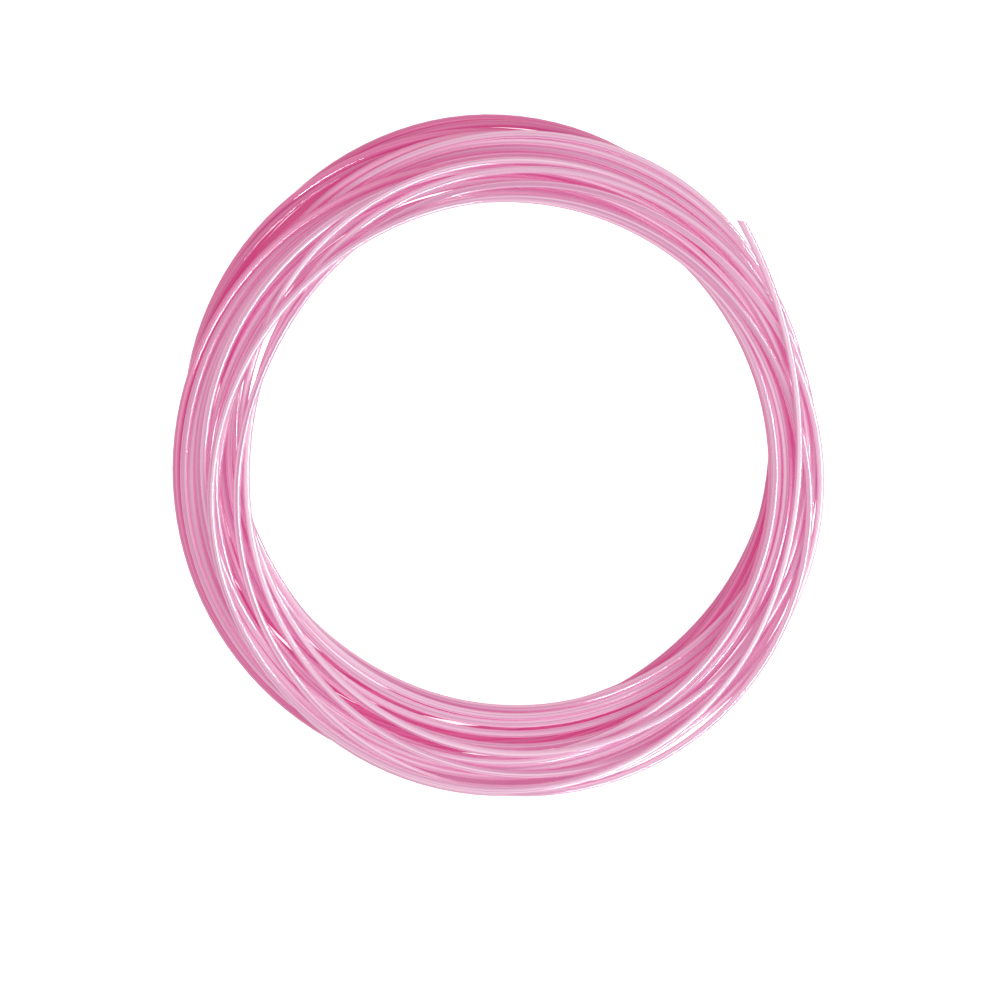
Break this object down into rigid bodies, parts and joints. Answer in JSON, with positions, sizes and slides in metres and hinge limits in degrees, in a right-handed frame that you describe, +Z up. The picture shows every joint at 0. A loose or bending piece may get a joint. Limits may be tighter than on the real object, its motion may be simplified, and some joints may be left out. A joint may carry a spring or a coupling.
{
  "type": "fishing line coil",
  "caption": "Loose round coil of thick pink nylon monofilament fishing line, wound in off-centre lays that cross each other, lying flat with its outer end free.",
  "frame": {"origin": "middle of the coil's outline, on the surface it lies on", "axes": "+Z up along the coil's axis, +Y along the coil's longest way, and the free end points towards +X and +Y"},
  "size_m": [0.154, 0.1606, 0.0108],
  "materials": {
    "line": "glossy, slightly clear pink monofilament"
  },
  "bodies": {
    "root": {"bottom_lay": "line", "lower_lay": "line", "middle_lay": "line", "upper_lay": "line", "top_lay": "line", "loose_end": "line"}
  },
  "joints": []
}
